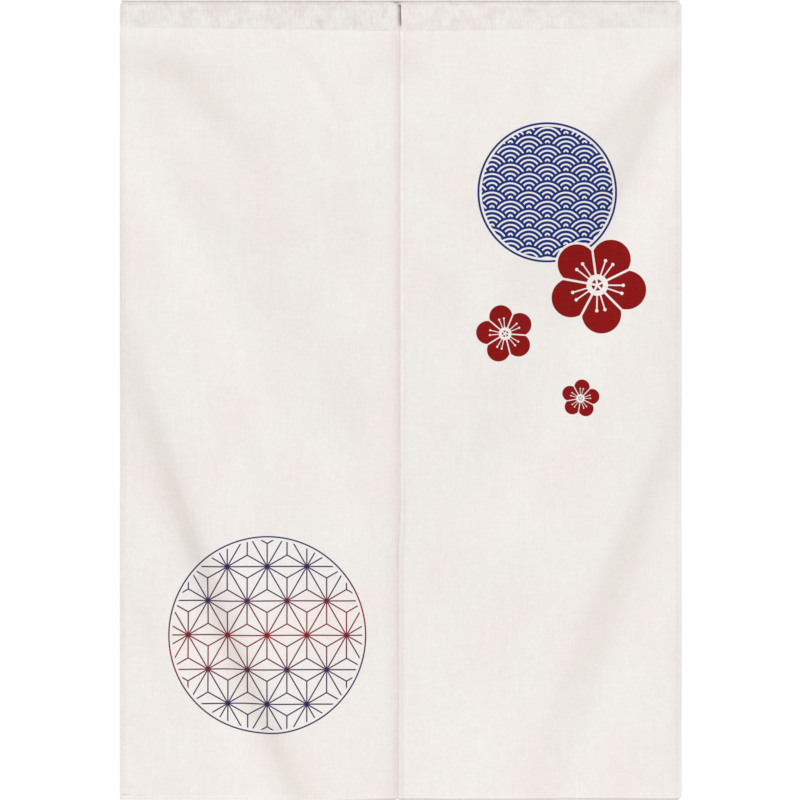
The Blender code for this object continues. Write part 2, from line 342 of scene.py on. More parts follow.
def fold_depth(fold, x, z):
    """How far a fold moves the cloth back (+) or forward (-) at a place."""
    run_x = fold.x_bottom - fold.x_top
    run_z = fold.z_bottom - fold.z_top
    length = math.hypot(run_x, run_z)
    along = ((x - fold.x_top) * run_x + (z - fold.z_top) * run_z) / length ** 2
    if not 0.0 < along < 1.0:
        return 0.0
    aside = ((z - fold.z_top) * run_x - (x - fold.x_top) * run_z) / length
    aside -= fold.bow * 4.0 * along * (1.0 - along)
    width = fold.right_width if aside > 0.0 else fold.left_width
    fullness = math.sin(math.pi * along) ** FOLD_FULLNESS
    return fold.depth * fullness * math.exp(-(aside / width) ** 2)


def hem_relief(distance, puff):
    """How the front of a hem lies behind (+) or in front of (-) the cloth beside it."""
    sink = STITCH_DIMPLE * math.exp(-((distance - HEM_STITCH) / STITCH_SINK) ** 2)
    step = HEM_STEP * (1.0 - smooth_step((distance - HEM_WIDTH) / HEM_STEP_WIDTH + 0.5))
    swell = puff * math.sin(math.pi * min(1.0, distance / HEM_STITCH))
    return sink - step - swell


def seam_relief(x, z, seam, seed):
    """The line of stitches lies in a dimple between small puckers, which a seed varies."""
    away = z - seam
    drift = PUCKER_DRIFT * noise.noise((x * PUCKER_DRIFTS_A_METRE, seed, 0.0))
    ripple = math.sin(2.0 * math.pi * x / PUCKER_LENGTH + drift)
    ripple *= PUCKER_MEAN + PUCKER_SWING * noise.noise((x * PUCKER_SWINGS_A_METRE, seed + 3.0, 0.0))
    return (SEAM_DIMPLE * math.exp(-(away / SEAM_SINK) ** 2)
            + PUCKER * ripple * math.exp(-(away / PUCKER_REACH) ** 2))


def unevenness(kind, x, z, seed):
    """Soft waves or a slight crumple, which a seed varies."""
    return kind.depth * noise.noise((x / kind.across, z / kind.down, seed))


def crease_depth(x, z):
    """How deep the creases at the foot are at a place."""
    depth = 0.0
    for crease in FOOT_CREASES:
        apart = ((x - crease.x) / crease.across) ** 2 + ((z - crease.z) / crease.down) ** 2
        depth += crease.depth * math.exp(-apart)
    return depth


def edge_tone(distance, rows):
    """Change in brightness at a distance from an edge, on straight lines between its rows."""
    if distance <= rows[0].distance:
        return rows[0].change
    for nearer, further in zip(rows, rows[1:]):
        if distance < further.distance:
            share = (distance - nearer.distance) / (further.distance - nearer.distance)
            return nearer.change + (further.change - nearer.change) * share
    return rows[-1].change


def slit_tone(side, distance, z):
    """Change in brightness beside the slit, where the upper tones give way to the low ones."""
    upper, low = (LEFT_SLIT_TONES, LEFT_LOW_TONES) if side < 0 else (RIGHT_SLIT_TONES, RIGHT_LOW_TONES)
    share = smooth_step((LOW_TONES_START - z) / (LOW_TONES_START - LOW_TONES_END))
    return edge_tone(distance, upper) * (1.0 - share) + edge_tone(distance, low) * share


def corner_sizes(side, at_side):
    """The upper and the lower corner at a panel's outer side or at its slit edge."""
    if at_side:
        return TOP_CORNER, LEFT_FOOT_CORNER if side < 0 else RIGHT_FOOT_CORNER
    return LEFT_SLIT_CORNER if side < 0 else RIGHT_SLIT_CORNER, SLIT_FOOT_CORNER


def rounded_corner(inward, away, corner):
    """Where a point of the square at a corner goes when the corner is rounded."""
    if inward >= corner.across or away >= corner.down:
        return inward, away
    u = 1.0 - inward / corner.across
    v = 1.0 - away / corner.down
    return (corner.across * (1.0 - u * math.sqrt(1.0 - v * v / 2.0)),
            corner.down * (1.0 - v * math.sqrt(1.0 - u * u / 2.0)))


def rounded_place(side, part, spot):
    """x and z of a point, once the panel's corners are rounded."""
    if part == "field":
        return spot.x, spot.z
    at_side = part == "side"
    upper, lower = corner_sizes(side, at_side)
    inward = spot.from_side if at_side else spot.from_slit
    if spot.from_bottom < spot.from_top:
        inward, upward = rounded_corner(inward, spot.from_bottom, lower)
        z = spot.bottom + upward
    else:
        inward, downward = rounded_corner(inward, spot.from_top, upper)
        z = PANEL_TOP - downward
    x = side * HALF_WIDTH - side * inward if at_side else spot.inner + side * inward
    return x, z


def round_edge(distance, thickness):
    """Share of its half thickness that cloth has at a distance from its turned edge."""
    radius = thickness / 2.0
    if distance >= radius:
        return 1.0
    return math.sqrt(max(0.0, 1.0 - (1.0 - distance / radius) ** 2))


def panel_spot(side, column, row):
    """Where a column and a row of a panel meet on the curtain's plane."""
    outer = side * HALF_WIDTH
    x = outer / 2.0
    # The slit's place depends on the height and the height on x, so both are worked out three times
    for _ in range(3):
        seam = seam_height(x)
        bottom = bottom_edge(side, x)
        if row.part == "top":
            z = PANEL_TOP - row.amount
        elif row.part == "pocket":
            upper = PANEL_TOP - TOP_LINES[-1]
            z = upper + (seam + SEAM_LINES[0] - upper) * row.amount
        elif row.part == "seam":
            z = seam + row.amount
        elif row.part == "drop":
            upper = seam + SEAM_LINES[-1]
            z = upper + (bottom + BOTTOM_LINES[-1] - upper) * row.amount
        else:
            z = bottom + row.amount
        inner = slit_edge(side, z)
        if column.part == "side":
            x = outer - side * column.amount
        elif column.part == "slit":
            x = inner + side * column.amount
        else:
            start = outer - side * EDGE_LINES[-1]
            x = start + (inner + side * EDGE_LINES[-1] - start) * column.amount
    return Spot(x, z, inner, seam, bottom, from_side=abs(outer - x), from_slit=abs(x - inner),
                from_top=PANEL_TOP - z, from_bottom=z - bottom)


def turned_share(side, spot):
    """How far the left panel's slit edge is turned in at a spot of the heading."""
    if side > 0:
        return 0.0
    turned = max(0.0, 1.0 - spot.from_slit / TUCK)
    turned *= smooth_step((TOP_SEAM - spot.z) / TUCK_EASE)
    return turned * smooth_step((spot.z - SLIT_CLOSES) / TUCK_EASE)


def panel_relief(side, spot, in_drop, turned):
    """How far the front of the cloth lies behind its flat place."""
    x, z = spot.x, spot.z
    depth = sum(fold_depth(fold, x, z) for fold in (LEFT_FOLDS if side < 0 else RIGHT_FOLDS))
    depth += SLIT_HOLLOW * math.exp(-(x / SLIT_HOLLOW_REACH) ** 2)
    depth += unevenness(WAVES_IN_CLOTH, x, z, 11.0 * side) + unevenness(CRUMPLE, x, z, 11.0 * side + 5.0)
    depth *= smooth_step((spot.seam - FOLD_START - z) / FOLD_RAMP)
    if side < 0:
        depth += SLIT_SINK * math.exp(-(spot.from_slit / SLIT_SINK_REACH) ** 2) * in_drop
        depth += TUCK_DEPTH * turned ** TUCK_ROLL
    else:
        lifted = smooth_step((TOP_SEAM - z) / (TOP_SEAM - SEAM_AT_SIDE))
        depth -= OVERLAP_LIFT * (1.0 - smooth_step(x / LIFT_REACH)) * lifted
    hem_share = HEADING_HEM + (1.0 - HEADING_HEM) * in_drop
    depth += hem_relief(min(spot.from_side, spot.from_slit), HEM_PUFF) * hem_share
    depth += hem_relief(spot.from_bottom, BOTTOM_PUFF)
    depth += BOTTOM_CURL * max(0.0, 1.0 - spot.from_bottom / BOTTOM_CURL_REACH) ** 2
    depth += seam_relief(x, z, TOP_SEAM, side) + seam_relief(x, z, spot.seam, side + 7.0)
    depth += crease_depth(x, z)
    in_heading = smooth_step((z - spot.seam) / CRUMPLE_FROM_SEAM)
    in_heading *= smooth_step(spot.from_top / CRUMPLE_FROM_TOP)
    return depth + in_heading * unevenness(HEADING_CRUMPLE, x, z, side + 2.0)


def painted_light_on_panel(side, spot, in_drop, turned):
    """Painted light and shade at the edges, in the turned-in slit edge and in the creases."""
    tone = edge_tone(spot.from_side, LEFT_SIDE_TONES if side < 0 else RIGHT_SIDE_TONES)
    tone += slit_tone(side, spot.from_slit, spot.z) * in_drop - TUCK_SHADE * turned
    tone += edge_tone(spot.from_bottom, BOTTOM_TONES) + edge_tone(spot.from_top, TOP_TONES)
    return tone - CREASE_SHADE * crease_depth(spot.x, spot.z)


def panel_point(side, column, row):
    """The point of a panel's finished cloth where a column and a row meet."""
    spot = panel_spot(side, column, row)
    in_drop = smooth_step((spot.seam - spot.z) / FOLD_START)
    turned = turned_share(side, spot)
    from_hem = min(spot.from_side, spot.from_slit, spot.from_bottom)
    doubled = 1.0 - smooth_step((from_hem - HEM_WIDTH) / HEM_STEP_WIDTH + 0.5)
    thickness = CLOTH + (HEM - CLOTH) * doubled * in_drop
    half = thickness / 2.0
    shown_half = half * round_edge(min(from_hem, spot.from_top), thickness)
    y = FRONT_FACE + panel_relief(side, spot, in_drop, turned) + half
    x, z = rounded_place(side, column.part, spot)
    x += TUCK_WIDTH * turned
    heading = smooth_step((z - spot.seam) / SEAM_BLEND + 0.5) * (LEFT_HEADING if side < 0 else 1.0)
    return ClothPoint(front=(x, y - shown_half, z), back=(x, y + shown_half, z), flat=(x, z),
                      heading=heading, tone=painted_light_on_panel(side, spot, in_drop, turned))


def two_faced_cloth(name, columns, rows, point):
    """Cloth with a front and a back face, each from a grid, which meet in its turned edges."""
    mesh = bpy.data.meshes.new(name)
    cloth = bmesh.new()
    uv_map = cloth.loops.layers.uv.new("cloth")
    heading_layer = cloth.verts.layers.float.new("heading")
    front_layer = cloth.verts.layers.float.new("front")
    painted_light_layer = cloth.verts.layers.float.new("tone")
    facing_down = cloth.verts.layers.float.new("facing_down")
    points = [[point(column, row) for row in rows] for column in columns]
    for is_front, outward in ((True, -1.0), (False, 1.0)):
        made = bmesh.ops.create_grid(cloth, x_segments=len(columns) - 1, y_segments=len(rows) - 1,
                                     size=0.5)
        flat_place = {}
        faces = set()
        for vertex in made["verts"]:
            column = round((vertex.co.x + 0.5) * (len(columns) - 1))
            row = round((0.5 - vertex.co.y) * (len(rows) - 1))
            wanted = points[column][row]
            vertex.co = wanted.front if is_front else wanted.back
            vertex[heading_layer] = wanted.heading
            vertex[front_layer] = float(is_front)
            vertex[painted_light_layer] = wanted.tone
            flat_place[vertex] = wanted.flat
            faces.update(vertex.link_faces)
        for face in faces:
            face.smooth = True
            face.normal_update()
            for corner in face.loops:
                corner[uv_map].uv = flat_place[corner.vert]
        if sum(face.normal.y for face in faces) * outward < 0.0:
            bmesh.ops.reverse_faces(cloth, faces=list(faces))
    edge_points = [vertex for vertex in cloth.verts if vertex.is_boundary]
    bmesh.ops.remove_doubles(cloth, verts=edge_points, dist=1e-6)
    cloth.normal_update()
    for vertex in cloth.verts:
        vertex[facing_down] = max(0.0, -vertex.normal.z)
    cloth.to_mesh(mesh)
    cloth.free()
    return add_object(name, mesh)


def lines(part, amounts):
    return [Line(part, amount) for amount in amounts]


def lines_across(part, count):
    """The lines that divide a part into equal shares."""
    return [Line(part, number / count) for number in range(1, count)]


panel_columns = (lines("side", EDGE_LINES) + lines_across("field", FIELD_COLUMNS)
                 + lines("slit", reversed(EDGE_LINES)))
panel_rows = (lines("top", TOP_LINES) + lines_across("pocket", POCKET_ROWS) + lines("seam", SEAM_LINES)
              + lines_across("drop", DROP_ROWS) + lines("bottom", reversed(BOTTOM_LINES)))

left_panel = two_faced_cloth("cloth_panel_left", panel_columns, panel_rows,
                             lambda column, row: panel_point(-1, column, row))
right_panel = two_faced_cloth("cloth_panel_right", panel_columns, panel_rows,
                              lambda column, row: panel_point(1, column, row))


class Wire:
    """A socket's value in a material. Arithmetic on it adds Math nodes."""

    def __init__(self, tree, socket=None):
        self.tree = tree
        self.socket = socket

    def node(self, kind, inputs=None, output=0, **settings):
        """Add a node with its settings, then its inputs by name or number, and return an output."""
        made = self.tree.nodes.new("ShaderNode" + kind)
        for name, value in settings.items():
            setattr(made, name, value)
        for name, value in (inputs or {}).items():
            if isinstance(value, Wire):
                self.tree.links.new(value.socket, made.inputs[name])
            else:
                made.inputs[name].default_value = value
        return Wire(self.tree, made.outputs[output])

    def math(self, operation, *others):
        inputs = {place: value for place, value in enumerate((self, *others))}
        return self.node("Math", inputs, operation=operation)

    def __add__(self, other):
        return self.math("ADD", other)

    __radd__ = __add__

    def __mul__(self, other):
        return self.math("MULTIPLY", other)

    __rmul__ = __mul__

    def __sub__(self, other):
        return self.math("SUBTRACT", other)

    def __rsub__(self, other):
        return self.node("Math", {0: other, 1: self}, operation="SUBTRACT")

    def __truediv__(self, other):
        return self.math("DIVIDE", other)

    def __abs__(self):
        return self.math("ABSOLUTE")

    def layer(self, name):
        """The value that the mesh's points hold in a layer."""
        return self.node("Attribute", output=2, attribute_name=name)

    def clamp(self):
        return self.node("Clamp", {"Value": self})

    def lowest(self, other):
        return self.math("MINIMUM", other)

    def highest(self, other):
        return self.math("MAXIMUM", other)


def colour(red, green, blue):
    """Linear colour of an sRGB one that is given in 0 to 255."""
    shares = [value / 255.0 for value in (red, green, blue)]
    linear = [share / 12.92 if share <= 0.04045 else ((share + 0.055) / 1.055) ** 2.4 for share in shares]
    return (*linear, 1.0)


# Patterns of the cloth: changes a metre across and down, levels of detail, and how far each one shifts
# the brightness
Pattern = namedtuple("Pattern", "across down detail change")
WARP = Pattern(600.0, 12.0, 2.0, 0.085)
WEFT = Pattern(22.0, 620.0, 2.0, 0.055)
FLECK = Pattern(260.0, 200.0, 3.0, 0.11)
PATCH = Pattern(95.0, 70.0, 2.0, 0.065)
CLOUD = Pattern(13.0, 9.0, 1.0, 0.02)
HEADING_SHADE = 0.055         # painted shade: the doubled heading lets less light through, so it is this much darker; it has these two patterns as well
HEADING_MOTTLE = Pattern(48.0, 40.0, 3.0, 0.14)
HEADING_STREAK = Pattern(330.0, 75.0, 2.0, 0.19)
WARP_STRAY = Pattern(40.0, 90.0, 0.0, 2.0)     # threads stray sideways, by so many pitches
WEFT_STRAY = Pattern(90.0, 40.0, 0.0, 2.0)
THREAD_PITCH = 0.00080
THREAD_BUMP = 0.00010
BUMP_STRENGTH = 0.6
SLUB_HEIGHT = 0.6             # how far thicker threads stand out, in heights of the weave
CLOTH_FINISH = {"Roughness": 0.92, "Specular IOR Level": 0.08, "Sheen Weight": 0.02,
                "Sheen Roughness": 0.5}

CLOTH_COLOUR = colour(220.7, 217, 213.2)
CLOTH_WARM = colour(221, 212.5, 210)
WARM_CLOUD_START = 0.43       # clouds are warm from this value up, and this fast
WARM_CLOUD_RISE = 2.4
WARM_MOTTLE_RISE = 4.0        # and so are the heading's mottles from their middle value
SLIT_SHADOW_WARMTH = 1.2             # so is the painted shadow beside the slit, most of all here and this far round it
SLIT_SHADOW_MIDDLE = -0.0045
SLIT_SHADOW_REACH = 0.0070
CLOTH_SHADED = colour(224, 213.5, 206)
SHADED_SHARE = 2.6            # how fast the cloth takes the shaded colour as it turns to face down
SHADED_MOST = 0.5

BLUE_INK = colour(8, 40, 108)
RED_INK = colour(126, 2, 3)
INK_EDGE = 0.0005             # width over which a printed edge softens
INK_HOLD = 0.955              # how well ink covers the cloth between the threads
INK_ON_THREADS = 0.035        # and how much better on their tops
BACK_GHOST = 0.10             # how much of the print shows through to the back

# A cloth's material so far: the place on the flat cloth, its plain colour and the height of its weave
PlainCloth = namedtuple("PlainCloth", "across down tint weave")


def mix_colours(share, first, second):
    return share.node("Mix", {0: share, 6: first, 7: second}, output=2, data_type="RGBA")


def inked(distance):
    """1 where a signed distance to a printed edge is under 0, with a soft edge."""
    return (0.5 - distance / INK_EDGE).clamp()


def patterned(across, down, pattern):
    """A pattern's value on the flat cloth, from 0 to 1."""
    place = across.node("CombineXYZ", {0: across * pattern.across, 1: down * pattern.down})
    return across.node("TexNoise", {"Vector": place, "Scale": 1.0, "Detail": pattern.detail})


def swing(value, pattern):
    """The change in brightness that a pattern's value makes."""
    return (value - 0.5) * pattern.change


def plain_cloth(material):
    """The woven cloth's colour and weave, without its print."""
    wire = Wire(material.node_tree)
    flat = wire.node("UVMap", uv_map="cloth")
    across = wire.node("SeparateXYZ", {0: flat}, output=0)
    down = wire.node("SeparateXYZ", {0: flat}, output=1)
    heading = wire.layer("heading")
    # Some metres are added where two patterns would otherwise have their changes at the same places
    warp = patterned(across, down, WARP)
    weft = patterned(across + 3.1, down, WEFT)
    fleck = patterned(across, down, FLECK)
    patch = patterned(across + 7.0, down, PATCH)
    streak = patterned(across + 1.7, down, HEADING_STREAK)
    cloud = patterned(across, down, CLOUD)
    mottle = patterned(across, down + 5.0, HEADING_MOTTLE)
    slubs = swing(warp, WARP) + swing(weft, WEFT) + swing(fleck, FLECK) + swing(patch, PATCH)
    # Painted shade on the doubled heading, with its mottle and streaks
    heading_shade_and_mottle = HEADING_SHADE + swing(mottle, HEADING_MOTTLE) + swing(streak, HEADING_STREAK)
    # The layer of painted light and shade brightens or darkens the cloth's colour
    shade = 1.0 + slubs + wire.layer("tone") + swing(cloud, CLOUD) - heading * heading_shade_and_mottle
    # Painted shade: the shadow beside the slit takes the warm colour
    slit_shadow_warmth = (1.0 - abs(across - SLIT_SHADOW_MIDDLE) / SLIT_SHADOW_REACH).clamp() * SLIT_SHADOW_WARMTH
    warm_clouds = (cloud - WARM_CLOUD_START) * WARM_CLOUD_RISE
    warm = (warm_clouds + heading * (mottle - 0.5) * WARM_MOTTLE_RISE + slit_shadow_warmth).clamp()
    tint = mix_colours(warm, CLOTH_COLOUR, CLOTH_WARM)
    shaded = (wire.layer("facing_down") * SHADED_SHARE).lowest(SHADED_MOST)
    tint = mix_colours(shaded, tint, CLOTH_SHADED)
    tint = wire.node("VectorMath", {0: tint, "Scale": shade}, operation="SCALE")

    warp_stray = patterned(across, down, WARP_STRAY) * WARP_STRAY.change
    weft_stray = patterned(across, down + 9.0, WEFT_STRAY) * WEFT_STRAY.change
    warp_turn = (across / THREAD_PITCH + warp_stray) * math.pi
    weft_turn = (down / THREAD_PITCH + weft_stray) * math.pi
    # Warp and weft lie on top by turns, like the squares of a chessboard
    over = (warp_turn + math.pi / 2.0).math("SINE") * (weft_turn + math.pi / 2.0).math("SINE")
    warp_top = abs(warp_turn.math("COSINE")) * (0.5 + over * 0.5)
    weft_top = abs(weft_turn.math("COSINE")) * (0.5 - over * 0.5)
    weave = warp_top.highest(weft_top) + (warp + weft) * SLUB_HEIGHT
    return PlainCloth(across, down, tint, weave)


def ink_share(cloth):
    """How far ink covers the cloth: less between the threads, and very little at the back."""
    shown = cloth.weave.layer("front") * (1.0 - BACK_GHOST) + BACK_GHOST
    return shown * (INK_HOLD + cloth.weave * INK_ON_THREADS).clamp()


def finish(material, tint, bump, numbers):
    """Join a material's colour and bump to its shader, and set the shader's numbers."""
    shader = material.node_tree.nodes["Principled BSDF"]
    for name, value in numbers.items():
        shader.inputs[name].default_value = value
    for name, wire in (("Base Color", tint), ("Normal", bump)):
        material.node_tree.links.new(wire.socket, shader.inputs[name])


def finish_cloth(material, tint, weave):
    bump = weave.node("Bump", {"Height": weave, "Distance": THREAD_BUMP, "Strength": BUMP_STRENGTH})
    finish(material, tint, bump, CLOTH_FINISH)


def new_material(name):
    material = bpy.data.materials.new(name)
    material.use_nodes = True
    return material


# Print on the right panel: a roundel of overlapping waves, and three plum blossoms
# A roundel's rim is a line, and bare cloth lies between it and the pattern inside.
Roundel = namedtuple("Roundel", "x z radius half_rim bare")
WAVES = Roundel(0.222, -0.292, 0.106, 0.0016, 0.0065)
FAN_RADIUS = 0.028
FAN_BAND = 0.24               # one blue band and one bare one, as a share of a fan's radius
FAN_BLUE = 0.62               # the blue one's share of the two
FAN_EDGE = 0.25               # how far into its bands a fan starts at its edge
FANS_OVER_A_POINT = 4

Blossom = namedtuple("Blossom", "x z radius turn")
BLOSSOMS = (
    Blossom(0.298, -0.432, 0.074, 10.0),
    Blossom(0.158, -0.506, 0.044, 40.0),
    Blossom(0.272, -0.604, 0.029, 62.0),
)
BARE_ROUND_BLOSSOM = 0.0035   # keeps it off the waves
# Sizes in a blossom, as shares of its radius
PETAL_PLACE = 0.60
PETAL_RADIUS = 0.40
PETAL_NECK = 0.62             # slope of a petal's sides towards the flower's middle
HALF_PETAL_GAP = 0.022
HEART = 0.115
RING = 0.19
HALF_RING_LINE = 0.030
STAMEN_SLOPE = 0.16
HALF_STAMEN = 0.014
STAMEN_END = 0.50
SEED_PLACE = 0.52
SEED_RADIUS = 0.034


def measured(cloth, roundel):
    """A place on the cloth as seen from a roundel's middle: across, down and straight."""
    x = cloth.across - roundel.x
    z = cloth.down - roundel.z
    return x, z, (x * x + z * z).math("SQRT")


def rimmed(pattern, from_centre, roundel):
    """A pattern cut round, inside a roundel's rim."""
    pattern = pattern * inked(from_centre - roundel.radius + roundel.bare)
    return pattern.highest(inked(abs(from_centre - roundel.radius + roundel.half_rim) - roundel.half_rim))


def waves(across, down):
    """Seigaiha: of the fans over a point, the lowest one is in front, and each is a set of rings."""
    half = FAN_RADIUS / 2.0
    first_row = ((down - FAN_RADIUS) / half).math("CEIL")
    nearest = None
    for step in reversed(range(FANS_OVER_A_POINT)):
        row = first_row + float(step)
        shift = (row / 2.0 - (row / 2.0).math("FLOOR")) * 2.0 * FAN_RADIUS
        aside = (across - shift).math("WRAP", FAN_RADIUS, -FAN_RADIUS)
        away = down - row * half
        radius = (aside * aside + away * away).math("SQRT")
        if nearest is None:
            nearest = radius
        else:
            within = radius.math("LESS_THAN", FAN_RADIUS)
            nearest = within * radius + (1.0 - within) * nearest
    turn = (FAN_RADIUS - nearest) / (FAN_BAND * FAN_RADIUS) + FAN_EDGE
    from_band = abs(turn - turn.math("FLOOR") - 0.5)
    return inked((from_band - FAN_BLUE / 2.0) * (FAN_BAND * FAN_RADIUS))


def blossom(cloth, flower):
    """Print of one plum blossom, and the bare outline round it."""
    x, z, radius = measured(cloth, flower)
    size = flower.radius
    sector = 2.0 * math.pi / 5.0
    turned = z.math("ARCTAN2", x) + math.radians(flower.turn)
    angle = abs(turned.math("WRAP", sector / 2.0, -sector / 2.0))
    along = radius * angle.math("COSINE")
    aside = radius * angle.math("SINE")
    petal_out = along - size * PETAL_PLACE
    petal = (petal_out * petal_out + aside * aside).math("SQRT") - size * PETAL_RADIUS
    # The part of the petal from the middle of the flower out to its round end
    neck = aside - along * PETAL_NECK
    outline = petal.lowest(neck.highest(petal_out))
    gap = (sector / 2.0 - angle).math("SINE") * radius - size * HALF_PETAL_GAP
    heart = radius - size * HEART
    ring = abs(radius - size * RING) - size * HALF_RING_LINE
    stamen = abs(aside - along * STAMEN_SLOPE) - size * HALF_STAMEN
    stamen = stamen.highest(size * RING - along).highest(along - size * STAMEN_END)
    seed_out = along - size * SEED_PLACE
    seed_side = aside - size * SEED_PLACE * STAMEN_SLOPE
    seed = (seed_out * seed_out + seed_side * seed_side).math("SQRT") - size * SEED_RADIUS
    bare = inked(gap).highest(inked(ring)).highest(inked(stamen)).highest(inked(seed))
    bare = bare.highest(inked(radius - size * RING) - inked(heart))
    return inked(outline) * (1.0 - bare), inked(outline - BARE_ROUND_BLOSSOM)


right_cloth = new_material("printed_cloth_right")
cloth = plain_cloth(right_cloth)
wave_x, wave_z, from_centre = measured(cloth, WAVES)
blue_mask = rimmed(waves(wave_x, wave_z + FAN_RADIUS / 3.0), from_centre, WAVES)
red_mask = None
for flower in BLOSSOMS:
    printed, kept_bare = blossom(cloth, flower)
    blue_mask = blue_mask * (1.0 - kept_bare)
    red_mask = printed if red_mask is None else red_mask.highest(printed)
hold = ink_share(cloth)
tint = mix_colours(blue_mask * hold, cloth.tint, BLUE_INK)
tint = mix_colours(red_mask * hold, tint, RED_INK)
finish_cloth(right_cloth, tint, cloth.weave)
right_panel.data.materials.append(right_cloth)

# Print on the left panel: a large, light roundel of hemp leaves, which fades from blue to red and back
LEAVES = Roundel(-0.202, -0.962, 0.150, 0.0011, 0.006)
LEAF_SIDE = 0.060
LEAF_LINE = 0.0020
FadeStop = namedtuple("FadeStop", "place ink")
FADE_STOPS = (FadeStop(0.0, colour(22, 38, 92)), FadeStop(0.28, colour(58, 34, 70)),
              FadeStop(0.50, colour(128, 18, 26)), FadeStop(0.72, colour(58, 34, 70)),
              FadeStop(1.0, colour(18, 31, 82)))
FADE_SLANT = 0.6              # how much further down the fade is for each metre to the right


def hemp_leaves(across, down):
    """Asanoha: a net of triangles, each with three lines from its middle to its corners."""
    height = LEAF_SIDE * math.sqrt(3.0) / 2.0
    shares = []
    for turn in (90.0, 210.0, 330.0):
        place = (across * math.cos(math.radians(turn)) + down * math.sin(math.radians(turn))) / height
        shares.append(place - place.math("FLOOR"))
    # The three shares add up to 1 in a triangle that points one way, and to 2 in the others
    upside = (shares[0] + shares[1] + shares[2]).math("GREATER_THAN", 1.5)
    gaps = [upside * (1.0 - share) + (1.0 - upside) * share for share in shares]
    least = gaps[0].lowest(gaps[1]).lowest(gaps[2])
    most = gaps[0].highest(gaps[1]).highest(gaps[2])
    middle = gaps[0] + gaps[1] + gaps[2] - least - most
    nearest = least.lowest((middle - least) / math.sqrt(3.0)) * height
    return inked(nearest - LEAF_LINE / 2.0)


left_cloth = new_material("printed_cloth_left")
cloth = plain_cloth(left_cloth)
leaf_x, leaf_z, from_centre = measured(cloth, LEAVES)
leaf_mask = rimmed(hemp_leaves(leaf_x, leaf_z), from_centre, LEAVES)
fade = cloth.across.node("ValToRGB", {"Fac": 0.5 - leaf_z / (2.0 * LEAVES.radius) + leaf_x * FADE_SLANT})
stops = fade.socket.node.color_ramp.elements
stops[0].position, stops[0].color = FADE_STOPS[0]
stops[1].position, stops[1].color = FADE_STOPS[-1]
for wanted in FADE_STOPS[1:-1]:
    stops.new(wanted.place).color = wanted.ink
finish_cloth(left_cloth, mix_colours(leaf_mask * ink_share(cloth), cloth.tint, fade), cloth.weave)
left_panel.data.materials.append(left_cloth)

for panel, node in ((left_panel, "panel_left"), (right_panel, "panel_right")):
    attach(panel, "root")
    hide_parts(node)


# The facing
# One strip of the same cloth, cut a little too long up and down, so that it bows back behind the
# panels' flat tops and makes the pole pocket. Both its long edges are turned in and sewn to them.
FACING_INSET = 0.003          # it ends this far inside the panels' sides
FACING_TAIL = 0.006           # it goes on this far below the lower seam
FACING_CLOTH = 0.0008
FACING_MIDDLE = -0.00065      # where the sewn strip lies against the panels' backs
POCKET_DEPTH = 0.015
POCKET_SKEW = 0.75            # under 1, it is deepest above its middle
POCKET_UNEVENNESS = 0.0010
Wave = namedtuple("Wave", "radians_per_metre phase share")
POCKET_WAVES = (Wave(21.0, 0.6, 1.0), Wave(47.0, 2.0, 0.6))
FACING_CRUMPLE = 0.00045
FACING_CRUMPLE_ACROSS = 0.018
FACING_CRUMPLES_ROUND = 2.2   # from one seam to the other
FACING_HEADING = 0.7          # share of the heading's painted shade and mottle that it has
FACING_COLUMNS = 200
BOW_ROWS = 40
FACING_EDGE = (0.0, 0.0001, 0.00025, 0.0004, 0.0011, 0.0018, 0.0021, 0.0025, 0.0034, 0.0046, 0.0054,
               0.0061, 0.0068)
# The strip dips back between its top edge and its upper seam, from the start to the end of a groove. It
# dips more by the left panel's corner at the slit, and ends inside the strip's right end.
GROOVE_DEPTH = 0.0008
GROOVE_START = 0.0024
GROOVE_SIDE = 0.0007
GROOVE_END = 0.0066
GROOVE_AT_SLIT = 0.0020
GROOVE_CORNER = -0.0055
GROOVE_CORNER_REACH = 0.0050
GROOVE_LEFT_OUT = 0.005
GROOVE_SHADE_START = 0.0034   # its lower part is darker, in the shade of the panels' tops
GROOVE_SHADE = 0.06
PATTERN_COLUMN = 0.2          # x at which the strip's length round the pocket is measured


def facing_middle(x, row):
    """Middle of the strip's thickness at x, for a row that runs down round the pocket."""
    seam = seam_height(x)
    if row.part == "top":
        dip = smooth_step((row.amount - GROOVE_START) / GROOVE_SIDE)
        dip *= 1.0 - smooth_step((row.amount - GROOVE_END) / (2.0 * GROOVE_SIDE))
        dip *= smooth_step((HALF_WIDTH - GROOVE_LEFT_OUT - x) / GROOVE_LEFT_OUT)
        by_corner = math.exp(-((x - GROOVE_CORNER) / GROOVE_CORNER_REACH) ** 2)
        deepest = GROOVE_DEPTH + GROOVE_AT_SLIT * by_corner
        return Vector((x, FACING_MIDDLE + deepest * dip, -row.amount))
    if row.part == "tail":
        return Vector((x, FACING_MIDDLE, seam - FACING_TAIL + row.amount))
    z = TOP_SEAM + (seam - TOP_SEAM) * row.amount
    swings = [wave.share * math.sin(x * wave.radians_per_metre + wave.phase) for wave in POCKET_WAVES]
    depth = POCKET_DEPTH + POCKET_UNEVENNESS * sum(swings)
    bow = math.sin(math.pi * row.amount ** POCKET_SKEW)
    crumple = noise.noise((x / FACING_CRUMPLE_ACROSS, row.amount * FACING_CRUMPLES_ROUND, 31.0))
    crumple *= FACING_CRUMPLE * math.sin(math.pi * row.amount)
    return Vector((x, FACING_MIDDLE + depth * bow + crumple, z))


